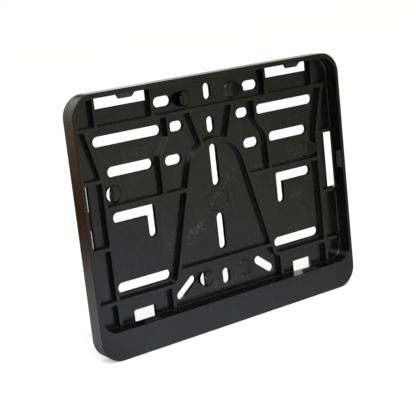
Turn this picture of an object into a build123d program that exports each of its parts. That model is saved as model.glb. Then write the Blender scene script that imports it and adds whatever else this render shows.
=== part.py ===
from build123d import *
import math
import os

# A moulded holder for a motorcycle number plate, in millimetres.
# X runs across, Z runs up, the front faces -Y and the rear face of the panel lies on Y = 0.

# The plate and the room around it
plate_width = 190.0
plate_height = 135.0
plate_space = 2.5  # between the ribs and the catches
side_gap = 1.4
end_gap = 0.47

# Rim walls, and the hollow band with a front lip below the plate
rim_wall = 2.3
top_wall = 3.05
frame_depth = 11.9
corner_radius = 13.5
wall_draft = 1.45  # degrees, the rim narrows towards the rear
rim_round = 0.35
rear_round = 0.4
lip_height = 17.6
lip_thickness = 2.1
lip_ledge = 2.0  # wall under the foot of the plate
lip_corner_radius = 10.0
pocket_round = 0.9  # where the walls meet the panel

# Panel and ribs, each rib placed by its centre line
panel_thickness = 2.5
rib_height = 3.4
rib_thickness = 2.2
top_rib_z = 57.5
mid_rib_z = 10.5
base_rib_z = -37.6
foot_rib_z = -45.15
window_rib_high_z = 27.3
window_rib_low_z = -12.5
outer_rib_x = 81.2
inner_rib_x = 42.55
brace_top_x = 88.9
funnel_top_x = 16.3
funnel_foot_x = 9.6
funnel_foot_z = 36.0
kink_top_x = 32.8
kink_foot_x = 40.65
kink_high_z = 44.6
kink_low_z = 33.6
kink_radius = 2.0
arch_radius = 21.2
arch_top_z = 37.6
arch_lean = 15.0  # degrees, each leg against the vertical
arch_foot_radius = 4.5

# Mounting slots, placed by their centres on the right half
slot_width = 6.2
upper_slot_x = 59.4
upper_slot_z = 49.4
upper_slot_length = 46.8
middle_slot_x = 59.9
middle_slot_z = 30.7
middle_slot_length = 31.5
lower_slot_x = 59.4
lower_slot_z = -38.2
lower_slot_length = 37.6
band_hole_x = 32.95
band_hole_z = 65.5
band_hole_length = 12.5
upper_hole_x = 25.05
upper_hole_length = 10.1
lower_hole_x = 29.65
lower_hole_z = 29.8
lower_hole_length = 11.9

# Angle slots: a level leg with a leg hanging from its inner end
angle_slot_inner_x = 46.9
angle_slot_outer_x = 75.7
angle_slot_z = 3.6
angle_leg_width = 5.4
angle_leg_low_z = -12.9
angle_slot_round = 1.4

# Slanted slots beside the lowest middle slot
slant_slot_x = 30.65
slant_slot_z = -49.75
slant_slot_length = 17.6
slant_slot_width = 5.4
slant_angle = 37.5

# Upright slots on the middle line
middle_slot_width = 5.5
band_upright_z = 66.7
upper_upright_z = 46.3
short_upright_length = 10.0
arch_upright_z = 21.3
arch_upright_length = 26.0
base_upright_z = -20.6
base_upright_length = 22.8
foot_upright_z = -49.8

# Spring tongues: each rises from a raised pad, the inner share of a round, over a hole, the outer share
tongue_radius = 4.7
tongue_root = 0.6  # from the middle of the round to the root
tongue_thickness = 1.0
pad_height = 0.6
pad_slope = 55.0  # degrees from the upright, all round the pad
pad_radius = 5.3
tongue_web = 0.8  # floor left under the top pair
side_tongue_x = 73.4
side_tongue_z = 17.9
side_tongue_length = 6.5
side_tongue_lean = 47.0  # degrees from the panel
foot_tongue_x = 15.25
foot_tongue_z = -47.7
foot_tongue_length = 5.5
foot_tongue_lean = 56.0
band_tongue_x = 18.0
band_tongue_z = 65.0
band_tongue_length = 6.8
band_tongue_lean = 50.0

# Openings behind the catches, and the catches on the rim
catch_reach = 2.8
foot_catch_reach = 1.7
catch_length = 11.8
catch_tip_length = 8.9
catch_tip_round = 0.8
catch_land = 0.8
catch_start = 0.8  # from the front of the rim
window_relief = 1.3
top_window_height = 7.4
top_window_flank = 0.4  # cut into the ribs beside the window
side_window_depth = 6.65
foot_window_width = 15.2
foot_window_height = 6.9
foot_window_relief = 0.9
foot_window_round = 1.0

# Round moulding mark on the panel
gate_radius = 7.5
gate_z = -0.5
gate_depth = 0.4
gate_nub_radius = 0.9

pocket_width = plate_width + 2 * side_gap
pocket_height = plate_height + 2 * end_gap
pocket_radius = corner_radius - rim_wall
front_width = pocket_width + 2 * rim_wall
front_height = pocket_height + top_wall + lip_height
inset = frame_depth * math.tan(math.radians(wall_draft))
lip_top_z = lip_height - front_height / 2
wall_x = pocket_width / 2
wall_z = front_height / 2 - top_wall
bay_x = (inner_rib_x + outer_rib_x) / 2
bay_width = outer_rib_x - inner_rib_x - rib_thickness
rib_front = panel_thickness + rib_height
pad_front = panel_thickness + pad_height
catch_underside = rib_front + plate_space
side_window_high_z = window_rib_high_z - rib_thickness / 2
side_window_low_z = window_rib_low_z + rib_thickness / 2
side_window_z = (side_window_high_z + side_window_low_z) / 2


def level(height):
    """Plane parallel to the panel, at a height in front of its rear face."""
    return Plane.XZ.offset(height)


def both_sides(shape):
    return shape + mirror(shape, about=Plane.YZ)


def span(x_low, x_high, z_low, z_high):
    """Rectangle between two X and two Z values."""
    middle = Pos((x_low + x_high) / 2, (z_low + z_high) / 2)
    return middle * Rectangle(x_high - x_low, z_high - z_low)


def slot(x, z, length, width=slot_width, angle=0):
    return Pos(x, z) * Rot(0, 0, angle) * SlotOverall(length, width)


def pocket():
    """Outline of the room for the plate, between the rim and the lip."""
    outline = span(-wall_x, wall_x, lip_top_z, wall_z)
    outline = fillet(outline.vertices().group_by(Axis.Y)[-1], pocket_radius)
    return fillet(outline.vertices().group_by(Axis.Y)[0], lip_corner_radius)


def frame():
    """Rim walls on the panel, and the band along the foot, which is hollow from the rear."""
    rear = RectangleRounded(front_width - 2 * inset, front_height - 2 * inset, corner_radius - inset)
    block = extrude(level(0) * rear, frame_depth, taper=-wall_draft)
    block = fillet(block.faces().sort_by(Axis.Y)[0].edges(), rim_round)
    block = fillet(block.faces().sort_by(Axis.Y)[-1].edges(), rear_round)
    inside = RectangleRounded(pocket_width, front_height - 2 * rim_wall, pocket_radius)
    hollow = inside & span(-wall_x, wall_x, -front_height / 2, lip_top_z - lip_ledge)
    block -= extrude(level(panel_thickness) * pocket(), frame_depth)
    panel = block.faces().filter_by(Axis.Y).sort_by(Axis.Y)[1]
    block = fillet(panel.edges(), pocket_round)
    return block - extrude(level(0) * hollow, frame_depth - lip_thickness)


def rib_paths():
    """Centre lines of the ribs on the right half and of those that cross the middle."""
    apex_z = arch_top_z + arch_radius * (1 / math.sin(math.radians(arch_lean)) - 1)
    foot_x = (apex_z - foot_rib_z) * math.tan(math.radians(arch_lean))
    base_x = (apex_z - base_rib_z) * math.tan(math.radians(arch_lean))
    mid_x = (apex_z - mid_rib_z) * math.tan(math.radians(arch_lean))
    middle = [
        Line((-wall_x, top_rib_z), (wall_x, top_rib_z)),
        Line((-base_x, base_rib_z), (base_x, base_rib_z)),
        FilletPolyline(
            (-wall_x, foot_rib_z),
            (-foot_x, foot_rib_z),
            (0, apex_z),
            (foot_x, foot_rib_z),
            (wall_x, foot_rib_z),
            radius=[arch_foot_radius, arch_radius, arch_foot_radius],
        ),
    ]
    half = [
        Line((outer_rib_x, top_rib_z), (outer_rib_x, wall_z)),
        Line((inner_rib_x, top_rib_z), (inner_rib_x, wall_z)),
        Line((brace_top_x, top_rib_z), (outer_rib_x, window_rib_high_z)),
        Line((outer_rib_x, window_rib_high_z + rib_thickness / 2), (outer_rib_x, lip_top_z)),
        Line((inner_rib_x, foot_rib_z), (inner_rib_x, lip_top_z)),
        Line((outer_rib_x, window_rib_high_z), (wall_x, window_rib_high_z)),
        Line((outer_rib_x, window_rib_low_z), (wall_x, window_rib_low_z)),
        Line((mid_x, mid_rib_z), (outer_rib_x, mid_rib_z)),
        Line((funnel_top_x, top_rib_z), (funnel_foot_x, funnel_foot_z)),
        FilletPolyline(
            (kink_top_x, top_rib_z),
            (kink_top_x, kink_high_z),
            (kink_foot_x, kink_low_z),
            (kink_foot_x, mid_rib_z),
            radius=kink_radius,
        ),
    ]
    return middle, half


def ribs():
    middle, half = rib_paths()
    pattern = trace(middle, rib_thickness) + both_sides(trace(half, rib_thickness))
    return extrude(level(panel_thickness) * (pattern & pocket()), rib_height)


def angle_slot():
    low_z = angle_slot_z - slot_width / 2
    high_z = angle_slot_z + slot_width / 2
    end_x = angle_slot_outer_x - slot_width / 2
    leg_x = angle_slot_inner_x + angle_leg_width / 2
    leg_end_z = angle_leg_low_z + angle_leg_width / 2
    arm = span(angle_slot_inner_x, end_x, low_z, high_z) + Pos(end_x, angle_slot_z) * Circle(slot_width / 2)
    leg = span(angle_slot_inner_x, leg_x + angle_leg_width / 2, leg_end_z, high_z)
    leg += Pos(leg_x, leg_end_z) * Circle(angle_leg_width / 2)
    corner = (arm + leg).vertices().sort_by_distance((angle_slot_inner_x, high_z))[0]
    return fillet(corner, angle_slot_round)


def slot_pattern():
    half = [
        slot(upper_slot_x, upper_slot_z, upper_slot_length),
        slot(middle_slot_x, middle_slot_z, middle_slot_length),
        slot(lower_slot_x, lower_slot_z, lower_slot_length),
        slot(band_hole_x, band_hole_z, band_hole_length),
        slot(upper_hole_x, upper_slot_z, upper_hole_length),
        slot(lower_hole_x, lower_hole_z, lower_hole_length),
        slot(slant_slot_x, slant_slot_z, slant_slot_length, slant_slot_width, -slant_angle),
        angle_slot(),
    ]
    uprights = [
        (band_upright_z, short_upright_length),
        (upper_upright_z, short_upright_length),
        (arch_upright_z, arch_upright_length),
        (base_upright_z, base_upright_length),
        (foot_upright_z, short_upright_length),
    ]
    middle = [slot(0, z, length, middle_slot_width, 90) for z, length in uprights]
    return Sketch() + both_sides(Sketch() + half) + middle


def windows():
    """Openings in the panel that formed the undersides of the catches, right half."""
    top_half = bay_width / 2 + top_window_flank
    foot_half = foot_window_width / 2
    top = span(-top_half, top_half, wall_z - top_window_height, wall_z + window_relief)
    side = span(wall_x - side_window_depth, wall_x + window_relief, side_window_low_z, side_window_high_z)
    foot = span(-foot_half, foot_half, lip_top_z - foot_window_relief, lip_top_z + foot_window_height)
    foot = fillet(foot.vertices().group_by(Axis.Y)[-1], foot_window_round)
    opening = extrude(level(0) * (side + Pos(bay_x, 0) * top), catch_underside)
    return opening + extrude(level(0) * Pos(bay_x, 0) * foot, panel_thickness + pocket_round)


def catch(reach):
    """Snap catch hanging from a wall at Z = 0, reaching down, centred on X = 0."""
    front = frame_depth - catch_start
    section = Polyline(
        (-front, 0),
        (-catch_underside - catch_land, -reach),
        (-catch_underside, -reach),
        (-catch_underside, window_relief),
        (-front, window_relief),
        close=True,
    )
    bar = extrude(Plane.YZ * make_face(section), catch_length / 2, both=True)
    outline = Polyline(
        (-catch_length / 2, window_relief),
        (-catch_length / 2, 0),
        (-catch_tip_length / 2, -reach),
        (catch_tip_length / 2, -reach),
        (catch_length / 2, 0),
        (catch_length / 2, window_relief),
        close=True,
    )
    shape = fillet(make_face(outline).vertices().group_by(Axis.Y)[0], catch_tip_round)
    return bar & extrude(level(0) * shape, frame_depth)


def catches():
    """One catch in the middle of each window, right half."""
    top = Pos(bay_x, 0, wall_z) * catch(catch_reach)
    side = Pos(wall_x, 0, side_window_z) * Rot(0, 90, 0) * catch(catch_reach)
    foot = Pos(bay_x, 0, lip_top_z) * Rot(0, 180, 0) * catch(foot_catch_reach)
    return top + side + foot


def tongue_hole(x, z, floor):
    outer = Circle(tongue_radius) & span(tongue_root, tongue_radius, -tongue_radius, tongue_radius)
    return extrude(level(floor) * Pos(x, z) * outer, pad_front - floor)


def tongue_pad(x, z):
    place = level(panel_thickness) * Pos(x, z)
    dome = extrude(place * Circle(pad_radius), pad_height, taper=pad_slope)
    return dome & extrude(place * span(-pad_radius, tongue_root, -pad_radius, pad_radius), pad_height)


def tongue(x, z, length, angle, floor):
    """Half-round tongue rooted on the straight edge of its hole."""
    lean = math.radians(angle)
    root = (pad_front - floor) / math.sin(lean)
    half = math.sqrt(tongue_radius**2 - tongue_root**2)
    outward = (math.cos(lean), -math.sin(lean), 0)
    inward = (-math.sin(lean), -math.cos(lean), 0)
    surface = Plane((x + tongue_root, -pad_front, z), x_dir=outward, z_dir=inward)
    tip = Ellipse(length, half) & span(0, length, -half, half)
    blade = extrude(surface * (tip + span(-root, 0, -half, half)), -tongue_thickness)
    room = extrude(level(floor) * Pos(x, z) * Rectangle(4 * tongue_radius, 4 * tongue_radius), frame_depth)
    return blade & room


def plate_holder():
    holder = frame() + ribs()
    holder -= extrude(level(0) * slot_pattern(), panel_thickness)
    holder -= both_sides(windows())
    holder += both_sides(catches())
    places = [
        (side_tongue_x, side_tongue_z, side_tongue_length, side_tongue_lean, 0),
        (foot_tongue_x, foot_tongue_z, foot_tongue_length, foot_tongue_lean, 0),
        (band_tongue_x, band_tongue_z, band_tongue_length, band_tongue_lean, tongue_web),
    ]
    for x, z, length, angle, floor in places:
        holder += both_sides(tongue_pad(x, z))
        holder -= both_sides(tongue_hole(x, z, floor))
        holder += both_sides(tongue(x, z, length, angle, floor))
    mark = Circle(gate_radius) - Circle(gate_nub_radius)
    holder -= extrude(level(panel_thickness - gate_depth) * Pos(0, gate_z) * mark, gate_depth)
    return holder


os.makedirs("parts", exist_ok=True)
holder = plate_holder()
export_step(holder.solid(), "parts/plate_holder.step")
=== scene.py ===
import math
import bpy
from mathutils import Matrix, Vector


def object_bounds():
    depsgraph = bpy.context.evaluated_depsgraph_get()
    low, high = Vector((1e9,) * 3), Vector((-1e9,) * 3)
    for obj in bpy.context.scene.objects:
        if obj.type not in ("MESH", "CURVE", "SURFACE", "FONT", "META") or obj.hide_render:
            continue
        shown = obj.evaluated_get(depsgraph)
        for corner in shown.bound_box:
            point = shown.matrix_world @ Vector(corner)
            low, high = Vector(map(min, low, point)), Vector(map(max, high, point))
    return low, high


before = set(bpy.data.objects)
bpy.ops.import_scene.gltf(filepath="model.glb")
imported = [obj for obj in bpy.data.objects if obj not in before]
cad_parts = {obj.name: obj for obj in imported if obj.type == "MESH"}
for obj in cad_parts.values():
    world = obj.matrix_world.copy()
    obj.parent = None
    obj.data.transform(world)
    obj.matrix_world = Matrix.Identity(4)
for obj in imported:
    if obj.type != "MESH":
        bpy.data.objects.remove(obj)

mm = 0.001
scene = bpy.context.scene
cadBox = [list(corner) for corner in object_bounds()]
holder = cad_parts["plate_holder"]
bpy.ops.object.select_all(action='DESELECT')
print("frame loaded, nodes:", sorted(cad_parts))


def hexToLinear(code):  # sRGB hex to the linear colour that the sockets take
    parts = [int(code[i:i + 2], 16) / 255 for i in (1, 3, 5)]
    return [p / 12.92 if p <= 0.04045 else ((p + 0.055) / 1.055) ** 2.4 for p in parts] + [1.0]


# settings go on the node, inputs on its sockets: a plain value, or (node, output) for a link
# a Mix node goes by number: 0 is the share, 6 and 7 are the two colours, and output 2 is the result
def addNode(tree, kind, settings=None, inputs=None):
    node = tree.nodes.new(kind)
    for key, value in (settings or {}).items():
        setattr(node, key, value)
    for socket, value in (inputs or {}).items():
        if isinstance(value, tuple) and isinstance(value[0], bpy.types.Node):
            tree.links.new(value[0].outputs[value[1]], node.inputs[socket])
        else:
            node.inputs[socket].default_value = value
    return node


def emptyTree(owner):  # node tree of a material or a world, cleared
    owner.use_nodes = True
    owner.node_tree.nodes.clear()
    return owner.node_tree


def tonesAlong(tree, distance, tones):  # tones laid along a distance: (place, sRGB hex)
    start, end = tones[0][0], tones[-1][0]
    share = addNode(tree, 'ShaderNodeMapRange', None, {
        "Value": distance, "From Min": start, "From Max": end})
    ramp = addNode(tree, 'ShaderNodeValToRGB', None, {0: (share, 0)})
    stops = ramp.color_ramp.elements
    stops[0].color = hexToLinear(tones[0][1])
    stops[-1].color = hexToLinear(tones[-1][1])
    for place, code in tones[1:-1]:
        stops.new((place - start) / (end - start)).color = hexToLinear(code)
    return ramp


# Polypropylene, injection moulded in a plain steel mould: nearly black all through, with a smooth skin
# whose soft gloss takes its grey from the white around it, faint flow streaks and a very fine tool grain.
plasticLook = {
    "colour": '#040405',
    "streakColour": '#0d0d0e',
    "ior": 1.49,
    "roughness": (0.18, 0.27),
    "flowWidth": 46,           # mm, broad cloudy change of gloss where the melt slowed down
    "flowRange": (0.3, 0.7),   # of the flow noise, from the glossiest skin to the dullest
    "streakWidth": 7,          # mm, pale streaks
    "streakLean": 0.35,        # radians
    "streakStretch": 0.28,     # below 1 draws them out along the height
    "streakRange": (0.52, 0.78),  # of the streak noise, from none to the full streak colour
    "grainWidth": 0.9,         # mm, the real grain is finer and is drawn as coarse as it shows
    "grainHeight": 0.012,      # mm
    "waveWidth": 24,           # mm, slow unevenness of a moulded face
    "waveHeight": 0.05,        # mm
    "frontFrom": -1,           # mm in Y, scuffs and the mark's rings are only in front of this
    "scuffColour": '#4a4a42',
    "speckWidth": 1.7,         # mm, scuffs and dust break up into specks
    "speckRange": (0.5, 0.75),  # of the speck noise, from none to a full speck
    "plainShare": 0.07,        # specks on the faces that are not scuffed
    "ovalCore": 0.2,           # part of an oval's half size that has its full share
    "scuffs": [                # mm: middle X and Z, half length, half width, lean in degrees, share
        (-5, -2, 30, 2.6, 43, 0.55), (-19, -17, 12, 6.5, 35, 0.75), (12, 14, 12, 4, 40, 0.45),
        (58, 12, 18, 3, 30, 0.5), (33, 12, 12, 6, 10, 0.4), (-62, 38, 26, 5, 8, 0.25),
        (-2, -54, 26, 4, 3, 0.45), (62, -12, 8, 8, 0, 0.4), (-40, -22, 12, 5, 70, 0.35)],
    "edgeRound": 0.3,          # mm, moulded edges are never sharp and catch the light
    "edgeSamples": 8,
    "softRims": [              # mm, X and Z of the tongues' pads, the same on both sides
        (70.2, 17.9), (12.1, -47.7), (14.8, 65)],
    "softRimReach": 7.5,       # mm
    "softRimRound": 2.6,       # mm, most rounding of a pad's rim, which fades into the panel
    "markAt": (0, -0.5),       # mm, X and Z of the round moulding mark in the middle of the panel
    "markRings": [             # mm from its middle: low rings that the mould left round the mark
        (5.2, '#000000'), (5.8, '#9a9a9a'), (6.4, '#000000'),
        (7.4, '#000000'), (8.0, '#ffffff'), (8.6, '#000000')],
    "markHeight": 0.24,        # mm
}


def softOval(tree, place, oval, core):  # spot on the panel that fades from its share to nothing
    x, z, length, width, lean, share = oval
    local = addNode(tree, 'ShaderNodeMapping', {"vector_type": 'TEXTURE'}, {
        "Vector": (place, "Object"), "Location": (x * mm, 0, z * mm),
        "Rotation": (0, -math.radians(lean), 0), "Scale": (length * mm, 1, width * mm)})
    away = addNode(tree, 'ShaderNodeVectorMath', {"operation": 'LENGTH'}, {0: (local, 0)})
    return addNode(tree, 'ShaderNodeMapRange', None, {
        "Value": (away, "Value"), "From Min": 1.0, "From Max": core, "To Max": share})


def mouldedPolypropylene(look):
    material = bpy.data.materials.new("moulded_polypropylene")
    tree = emptyTree(material)
    place = addNode(tree, 'ShaderNodeTexCoord')
    axes = addNode(tree, 'ShaderNodeSeparateXYZ', None, {0: (place, "Object")})
    frontFace = addNode(tree, 'ShaderNodeMath', {"operation": 'LESS_THAN'}, {
        0: (axes, "Y"), 1: look["frontFrom"] * mm})

    # colour: pale streaks, drawn out and leaning as the melt ran
    streakPlace = addNode(tree, 'ShaderNodeMapping', None, {
        "Vector": (place, "Object"), "Rotation": (0, look["streakLean"], 0),
        "Scale": (1.0, 1.0, look["streakStretch"])})
    streak = addNode(tree, 'ShaderNodeTexNoise', None, {
        "Vector": (streakPlace, "Vector"), "Scale": 1 / (look["streakWidth"] * mm),
        "Detail": 4.0, "Distortion": 0.8})
    streakShare = addNode(tree, 'ShaderNodeMapRange', None, {
        "Value": (streak, 0), "From Min": look["streakRange"][0], "From Max": look["streakRange"][1]})
    colour = addNode(tree, 'ShaderNodeMix', {"data_type": 'RGBA'}, {
        0: (streakShare, 0), 6: hexToLinear(look["colour"]), 7: hexToLinear(look["streakColour"])})

    # wear: specks, thick inside the scuffs and thin on the rest
    scuffed = look["plainShare"]
    for oval in look["scuffs"]:
        spot = softOval(tree, place, oval, look["ovalCore"])
        frontSpot = addNode(tree, 'ShaderNodeMath', {"operation": 'MULTIPLY'}, {
            0: (spot, 0), 1: (frontFace, 0)})
        most = addNode(tree, 'ShaderNodeMath', {"operation": 'MAXIMUM'}, {0: scuffed, 1: (frontSpot, 0)})
        scuffed = (most, 0)
    speck = addNode(tree, 'ShaderNodeTexNoise', None, {
        "Vector": (place, "Object"), "Scale": 1 / (look["speckWidth"] * mm),
        "Detail": 4.0, "Distortion": 0.6})
    speckShare = addNode(tree, 'ShaderNodeMapRange', None, {
        "Value": (speck, 0), "From Min": look["speckRange"][0], "From Max": look["speckRange"][1]})
    scuffShare = addNode(tree, 'ShaderNodeMath', {"operation": 'MULTIPLY'}, {
        0: scuffed, 1: (speckShare, 0)})
    worn = addNode(tree, 'ShaderNodeMix', {"data_type": 'RGBA'}, {
        0: (scuffShare, 0), 6: (colour, 2), 7: hexToLinear(look["scuffColour"])})

    # gloss: broad clouds from glossier to duller skin
    flow = addNode(tree, 'ShaderNodeTexNoise', None, {
        "Vector": (place, "Object"), "Scale": 1 / (look["flowWidth"] * mm),
        "Detail": 3.0, "Roughness": 0.55})
    gloss = addNode(tree, 'ShaderNodeMapRange', None, {
        "Value": (flow, 0), "From Min": look["flowRange"][0], "From Max": look["flowRange"][1],
        "To Min": look["roughness"][0], "To Max": look["roughness"][1]})

    # relief: rounded edges, softer at the pads' rims, then the mark's rings, slow waves and fine grain
    rounding = look["edgeRound"] * mm
    reach = look["softRimReach"]
    for x, z in look["softRims"]:
        for side in (-1, 1):
            oval = (side * x, z, reach, reach, 0, look["softRimRound"] * mm)
            rim = softOval(tree, place, oval, look["ovalCore"])
            most = addNode(tree, 'ShaderNodeMath', {"operation": 'MAXIMUM'}, {0: rounding, 1: (rim, 0)})
            rounding = (most, 0)
    edge = addNode(tree, 'ShaderNodeBevel', {"samples": look["edgeSamples"]}, {"Radius": rounding})
    markX, markZ = look["markAt"]
    markPlace = addNode(tree, 'ShaderNodeMapping', {"vector_type": 'TEXTURE'}, {
        "Vector": (place, "Object"), "Location": (markX * mm, 0, markZ * mm), "Scale": (mm, 1, mm)})
    markAway = addNode(tree, 'ShaderNodeVectorMath', {"operation": 'LENGTH'}, {0: (markPlace, 0)})
    rings = tonesAlong(tree, (markAway, "Value"), look["markRings"])
    markBump = addNode(tree, 'ShaderNodeBump', None, {
        "Height": (rings, 0), "Strength": (frontFace, 0),
        "Distance": look["markHeight"] * mm, "Normal": (edge, 0)})
    wave = addNode(tree, 'ShaderNodeTexNoise', None, {
        "Vector": (place, "Object"), "Scale": 1 / (look["waveWidth"] * mm), "Detail": 1.0})
    waveBump = addNode(tree, 'ShaderNodeBump', None, {
        "Height": (wave, 0), "Strength": 1.0,
        "Distance": look["waveHeight"] * mm, "Normal": (markBump, 0)})
    grain = addNode(tree, 'ShaderNodeTexNoise', None, {
        "Vector": (place, "Object"), "Scale": 1 / (look["grainWidth"] * mm), "Detail": 2.0})
    grainBump = addNode(tree, 'ShaderNodeBump', None, {
        "Height": (grain, 0), "Strength": 1.0,
        "Distance": look["grainHeight"] * mm, "Normal": (waveBump, 0)})

    skin = addNode(tree, 'ShaderNodeBsdfPrincipled', None, {
        "Base Color": (worn, 2), "Roughness": (gloss, 0), "IOR": look["ior"], "Normal": (grainBump, 0)})
    addNode(tree, 'ShaderNodeOutputMaterial', None, {"Surface": (skin, 0)})
    return material


holder.data.materials.clear()
holder.data.materials.append(mouldedPolypropylene(plasticLook))
print("plate holder dressed in", holder.data.materials[0].name)


# White laminate on a table: matt and white to the eye, with the part's shadow. The gloss of the plastic
# shows it in softer tones of painted light and shade: painted light from the left, painted warm brown
# further out, painted shade to the right front and a painted shadow at the part's foot.
floorLook = {
    "colour": '#fdfdfc',
    "size": 6.0,               # m
    "white": 1.0,              # what the camera sees of it
    "shadowShare": 0.6,        # how much of the real shadow the camera sees
    # the gloss-only tones below are painted light and shade, not the laminate's own colour
    "mirrored": 1.21,          # strength of the table in the gloss of the plastic
    "front": [                 # metres across, in front of the part
        (-1.15, '#4a4a4a'), (-0.4, '#7a7a7a'), (-0.13, '#8c8c8c'), (-0.065, '#f2f3f9'),
        (0.1, '#d0d1d5'), (0.3, '#cdccc1'), (0.5, '#cccab6'), (0.95, '#a5a48c')],
    "rightAlong": (1, 0.71, 0),
    "frontRight": [            # metres along that, to the right of what the middle of the face mirrors
        (-0.15, '#f6f6f6'), (-0.05, '#fafafa'), (0.0, '#f7f7f7'), (0.07, '#f0f0ee'),
        (0.13, '#c6c6bc'), (0.25, '#c8c8be')],
    "rearAlong": (-0.8, 0.6, 0),
    "rear": [                  # metres along that, to the left and behind: white, then warm brown
        (0.12, '#dedee0'), (0.23, '#bfbdb9'), (0.36, '#7d541f'), (0.52, '#78460c'),
        (0.75, '#a97c40'), (1.1, '#c0ad98')],
    "rearRange": (-0.02, 0.06),   # metres in Y, from the front tones to the rear ones
    # painted shadow of the part on the table, close behind its foot, seen only in the gloss
    "shade": '#262626',        # at the foot of the part, close behind it
    "shadeAcross": (0.11, 0.09),  # metres from the middle, from no shade to full shade
    "shadeFront": (-0.012, 0.0),  # metres in Y, the same
    "shadeRear": (0.036, 0.024),
}


def whiteTable(look, height):
    bpy.ops.mesh.primitive_plane_add(size=look["size"], location=(0, 0, height))
    table = bpy.context.object
    table.name = "table_top"
    material = bpy.data.materials.new("white_laminate")
    tree = emptyTree(material)
    place = addNode(tree, 'ShaderNodeTexCoord')
    axes = addNode(tree, 'ShaderNodeSeparateXYZ', None, {0: (place, "Object")})

    # painted light and shade that the gloss shows: in front, painted dimmer to the right, and behind with
    # painted warm brown
    front = tonesAlong(tree, (axes, "X"), look["front"])
    rightAlong = addNode(tree, 'ShaderNodeVectorMath', {"operation": 'DOT_PRODUCT'}, {
        0: (place, "Object"), 1: look["rightAlong"]})
    dimmer = tonesAlong(tree, (rightAlong, "Value"), look["frontRight"])
    dimmed = addNode(tree, 'ShaderNodeMix', {"data_type": 'RGBA', "blend_type": 'MULTIPLY'}, {
        0: 1.0, 6: (front, 0), 7: (dimmer, 0)})
    rearAlong = addNode(tree, 'ShaderNodeVectorMath', {"operation": 'DOT_PRODUCT'}, {
        0: (place, "Object"), 1: look["rearAlong"]})
    rear = tonesAlong(tree, (rearAlong, "Value"), look["rear"])
    rearShare = addNode(tree, 'ShaderNodeMapRange', None, {
        "Value": (axes, "Y"), "From Min": look["rearRange"][0], "From Max": look["rearRange"][1]})
    around = addNode(tree, 'ShaderNodeMix', {"data_type": 'RGBA'}, {
        0: (rearShare, 0), 6: (dimmed, 2), 7: (rear, 0)})

    # painted shadow at the foot of the part, seen only in the gloss
    away = addNode(tree, 'ShaderNodeMath', {"operation": 'ABSOLUTE'}, {0: (axes, "X")})
    across = addNode(tree, 'ShaderNodeMapRange', None, {
        "Value": (away, 0), "From Min": look["shadeAcross"][0], "From Max": look["shadeAcross"][1]})
    begin = addNode(tree, 'ShaderNodeMapRange', None, {
        "Value": (axes, "Y"), "From Min": look["shadeFront"][0], "From Max": look["shadeFront"][1]})
    end = addNode(tree, 'ShaderNodeMapRange', None, {
        "Value": (axes, "Y"), "From Min": look["shadeRear"][0], "From Max": look["shadeRear"][1]})
    along = addNode(tree, 'ShaderNodeMath', {"operation": 'MULTIPLY'}, {0: (begin, 0), 1: (end, 0)})
    shade = addNode(tree, 'ShaderNodeMath', {"operation": 'MULTIPLY'}, {0: (along, 0), 1: (across, 0)})
    shaded = addNode(tree, 'ShaderNodeMix', {"data_type": 'RGBA'}, {
        0: (shade, 0), 6: (around, 2), 7: hexToLinear(look["shade"])})

    # white with a shadow to the eye, the painted light and shade to the gloss, plain matt white to the
    # rest of the light
    path = addNode(tree, 'ShaderNodeLightPath')
    direct = addNode(tree, 'ShaderNodeMath', {"operation": 'MAXIMUM'}, {
        0: (path, "Is Camera Ray"), 1: (path, "Is Transmission Ray")})
    share = addNode(tree, 'ShaderNodeMath', {"operation": 'MULTIPLY'}, {
        0: (direct, 0), 1: 1 - look["shadowShare"]})
    matt = addNode(tree, 'ShaderNodeBsdfDiffuse', None, {"Color": hexToLinear(look["colour"])})
    white = addNode(tree, 'ShaderNodeEmission', None, {"Strength": look["white"]})
    mirrored = addNode(tree, 'ShaderNodeEmission', None, {
        "Color": (shaded, 2), "Strength": look["mirrored"]})
    seen = addNode(tree, 'ShaderNodeMixShader', None, {0: (share, 0), 1: (matt, 0), 2: (white, 0)})
    both = addNode(tree, 'ShaderNodeMixShader', None, {
        0: (path, "Is Glossy Ray"), 1: (seen, 0), 2: (mirrored, 0)})
    addNode(tree, 'ShaderNodeOutputMaterial', None, {"Surface": (both, 0)})
    table.data.materials.append(material)


whiteTable(floorLook, cadBox[0][2])
print("table top placed at", round(cadBox[0][2] / mm, 2), "mm")


# Painted shade: dark sheets close behind the panel, which only the gloss inside the slots and windows
# shows; they stand in for the shade behind the part, and nothing is there to the eye.
paintedShadeLook = {
    # colour of the painted shade
    "colour": '#020202',
    "sheets": [                # mm: left, right, foot, top
        (-82, 82, -53.5, 75.5), (82, 96.5, -13, 28), (-96.5, -82, -13, 28), (-72, -52, -61.5, -53.5)],
    "behind": 0.05,            # mm behind the rear face
    "reach": 0.35,             # mm, the rear face is nearer than this, so its own gloss shows none of the painted shade
}


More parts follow.
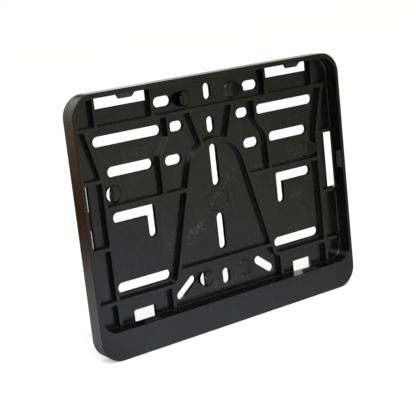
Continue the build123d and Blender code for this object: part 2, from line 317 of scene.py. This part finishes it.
# painted shade: dark sheets seen only by glossy rays, standing in for the shade behind the part
def paintedShadeSheets(look):
    material = bpy.data.materials.new("painted_shade_material")
    tree = emptyTree(material)
    path = addNode(tree, 'ShaderNodeLightPath')
    far = addNode(tree, 'ShaderNodeMath', {"operation": 'GREATER_THAN'}, {
        0: (path, "Ray Length"), 1: look["reach"] * mm})
    share = addNode(tree, 'ShaderNodeMath', {"operation": 'MULTIPLY'}, {
        0: (far, 0), 1: (path, "Is Glossy Ray")})
    clear = addNode(tree, 'ShaderNodeBsdfTransparent')
    dark = addNode(tree, 'ShaderNodeEmission', None, {"Color": hexToLinear(look["colour"])})
    both = addNode(tree, 'ShaderNodeMixShader', None, {0: (share, 0), 1: (clear, 0), 2: (dark, 0)})
    addNode(tree, 'ShaderNodeOutputMaterial', None, {"Surface": (both, 0)})
    for left, right, foot, top in look["sheets"]:
        middle = ((left + right) / 2 * mm, look["behind"] * mm, (foot + top) / 2 * mm)
        bpy.ops.mesh.primitive_plane_add(size=1, location=middle, rotation=(math.pi / 2, 0, 0))
        shadeSheet = bpy.context.object
        shadeSheet.name = "painted_shade_sheet"
        shadeSheet.scale = ((right - left) * mm, (top - foot) * mm, 1)
        bpy.ops.object.transform_apply(location=False, rotation=False, scale=True)
        shadeSheet.data.materials.append(material)
        shadeSheet.visible_camera = False
        shadeSheet.visible_diffuse = False
        shadeSheet.visible_transmission = False
        shadeSheet.visible_shadow = False


paintedShadeSheets(paintedShadeLook)
print("painted shade sheets placed behind the panel")


# Studio around the part: white to the eye, and a backdrop with a dark gap in it to the gloss.
worldLook = {
    "white": '#ffffff',
    "whiteStrength": 1.0,
    "front": '#80807c',        # dim, what the face of the part looks into
    "strength": 1.4,           # of the backdrop in the gloss of the plastic
    "rear": [                  # upwards from the table behind the part
        (0.0, '#c4b6a6'), (0.18, '#d3cdc4'), (0.45, '#f4f3f1'), (0.65, '#ffffff'), (0.85, '#8a8a88')],
    "gap": [                   # the same where the gap stands open, right of the middle
        (0.0, '#ffffff'), (0.16, '#ffffff'), (0.22, '#4a4a49'),
        (0.42, '#333332'), (0.52, '#ffffff'), (0.85, '#8a8a88')],
    "gapEdges": [(0.1, '#000000'), (0.3, '#ffffff'), (0.53, '#ffffff'), (0.6, '#000000')],
    "rearRange": (-0.1, 0.2),  # of the direction's Y, from the front to the backdrop
}


def studioWorld(look):
    world = bpy.data.worlds.new("studio")
    scene.world = world
    tree = emptyTree(world)
    place = addNode(tree, 'ShaderNodeTexCoord')
    axes = addNode(tree, 'ShaderNodeSeparateXYZ', None, {0: (place, "Generated")})
    plain = tonesAlong(tree, (axes, "Z"), look["rear"])
    gap = tonesAlong(tree, (axes, "Z"), look["gap"])
    gapShare = tonesAlong(tree, (axes, "X"), look["gapEdges"])
    rear = addNode(tree, 'ShaderNodeMix', {"data_type": 'RGBA'}, {
        0: (gapShare, 0), 6: (plain, 0), 7: (gap, 0)})
    rearShare = addNode(tree, 'ShaderNodeMapRange', None, {
        "Value": (axes, "Y"), "From Min": look["rearRange"][0], "From Max": look["rearRange"][1]})
    backdrop = addNode(tree, 'ShaderNodeMix', {"data_type": 'RGBA'}, {
        0: (rearShare, 0), 6: hexToLinear(look["front"]), 7: (rear, 2)})
    path = addNode(tree, 'ShaderNodeLightPath')
    mirrored = addNode(tree, 'ShaderNodeBackground', None, {
        "Color": (backdrop, 2), "Strength": look["strength"]})
    white = addNode(tree, 'ShaderNodeBackground', None, {
        "Color": hexToLinear(look["white"]), "Strength": look["whiteStrength"]})
    both = addNode(tree, 'ShaderNodeMixShader', None, {
        0: (path, "Is Glossy Ray"), 1: (white, 0), 2: (mirrored, 0)})
    addNode(tree, 'ShaderNodeOutputWorld', None, {"Surface": (both, 0)})


studioWorld(worldLook)
print("studio world set")


lamps = [  # metres and watts
    {"name": "key_softbox", "at": (-0.5, -0.5, 1.0), "aim": (0, 0, 0),
     "size": 0.8, "power": 6, "colour": '#ffffff'},
    {"name": "front_softbox", "at": (-0.33, -1.1, 0.64), "aim": (0, 0, 0),
     "size": 0.45, "power": 8.5, "colour": '#ffffff'},
]

for lamp in lamps:
    bpy.ops.object.light_add(type='AREA', location=lamp["at"])
    light = bpy.context.object
    light.name = lamp["name"]
    light.data.size = lamp["size"]
    light.data.energy = lamp["power"]
    light.data.color = hexToLinear(lamp["colour"])[:3]
    towards = Vector(lamp["aim"]) - Vector(lamp["at"])
    light.rotation_euler = towards.to_track_quat('-Z', 'Y').to_euler()
    light.visible_camera = False
print("lamps:", [lamp["name"] for lamp in lamps])


cameraSetup = {
    "at": (-383.6, -543.0, 138.8),  # mm
    "right": (0.8035, -0.5857, -0.1063),
    "up": (0.2099, 0.1116, 0.9713),
    "lens": 94.8,              # mm, on the sensor below
    "sensor": 36,              # mm
    "nearest": 10,             # mm, what is closer is not drawn
}


def photoCamera(setup):
    data = bpy.data.cameras.new("photo_camera")
    data.lens = setup["lens"]
    data.sensor_width = setup["sensor"]
    data.clip_start = setup["nearest"] * mm
    camera = bpy.data.objects.new("photo_camera", data)
    scene.collection.objects.link(camera)
    right = Vector(setup["right"]).normalized()
    back = right.cross(Vector(setup["up"])).normalized()
    up = back.cross(right)
    turn = Matrix((right, up, back)).transposed().to_4x4()
    camera.matrix_world = Matrix.Translation(Vector(setup["at"]) * mm) @ turn
    scene.camera = camera


photoCamera(cameraSetup)
print("camera set")

scene.view_settings.view_transform = 'Standard'
